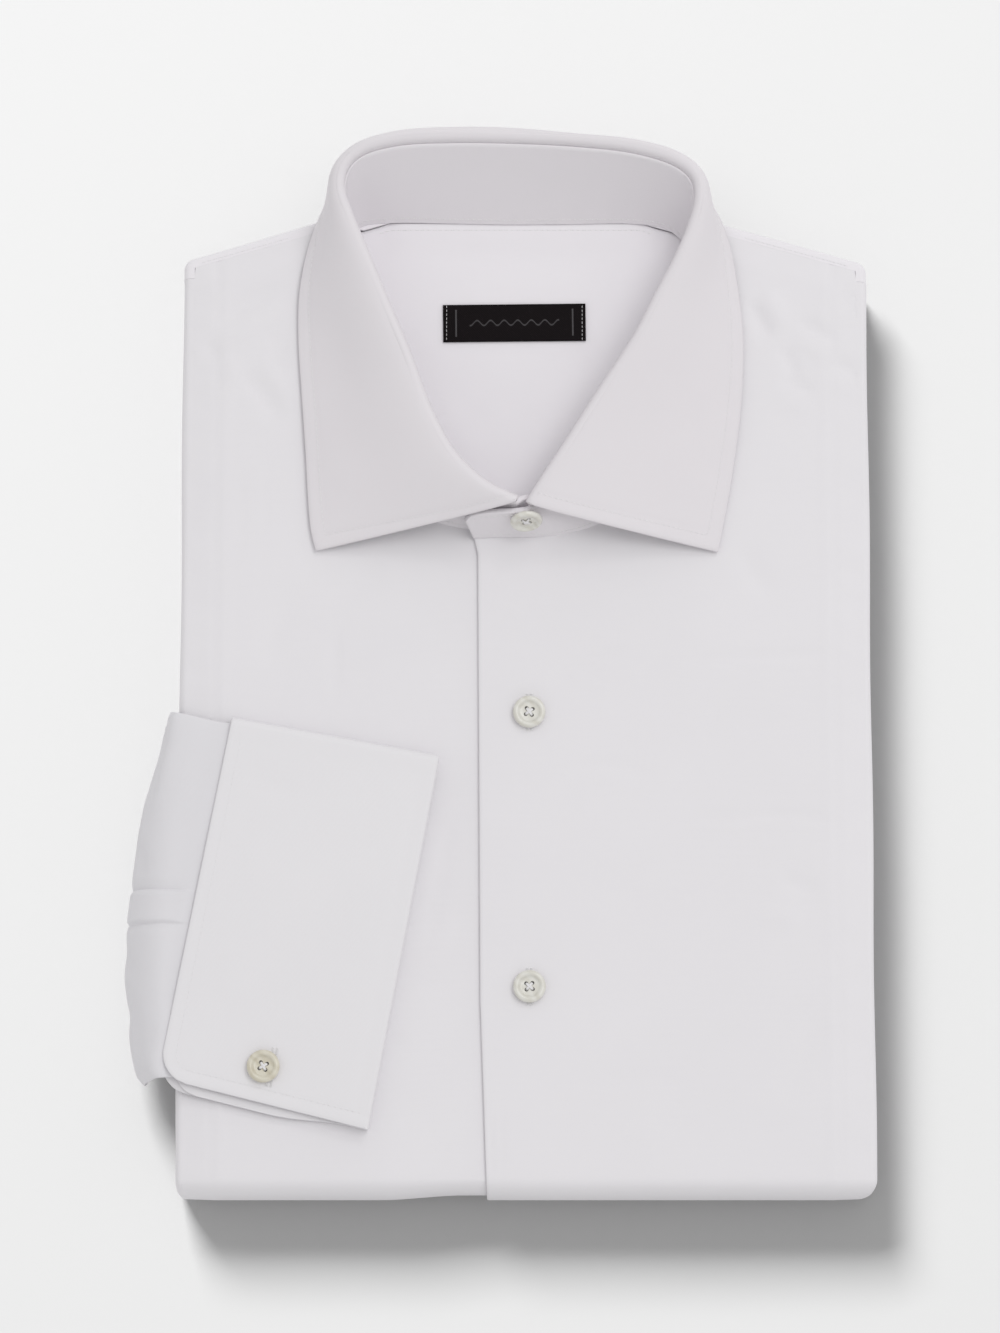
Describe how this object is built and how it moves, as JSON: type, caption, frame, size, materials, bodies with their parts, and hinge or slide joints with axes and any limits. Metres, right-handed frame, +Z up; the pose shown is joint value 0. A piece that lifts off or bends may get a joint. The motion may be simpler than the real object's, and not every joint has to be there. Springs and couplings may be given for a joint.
{
  "type": "folded dress shirt",
  "caption": "Long sleeve dress shirt folded flat, with a turned-down collar and one sleeve's turned-back double cuff laid across the front.",
  "frame": {"origin": "below the middle of the folded shirt's bounding box, at the height of the table it lies on", "axes": "+Y towards the collar, +X towards the wearer's left, +Z up out of the shirt's front"},
  "size_m": [0.2609, 0.3761, 0.0518],
  "materials": {
    "white_cotton": "matte white cotton poplin, pressed",
    "black_label": "black woven satin, faint sheen",
    "pearl_button": "pale pearl shirt button, glossy"
  },
  "bodies": {
    "root": {"folded_layers": "white_cotton", "front_right": "white_cotton", "front_left": "white_cotton", "yoke": "white_cotton", "yoke_facing": "white_cotton", "collar_stand": "white_cotton", "collar_leaf": "white_cotton", "sleeve": "white_cotton", "cuff": "white_cotton", "neck_label": "black_label", "collar_button": "pearl_button", "front_button_1": "pearl_button", "front_button_2": "pearl_button", "cuff_button": "pearl_button"}
  },
  "joints": []
}
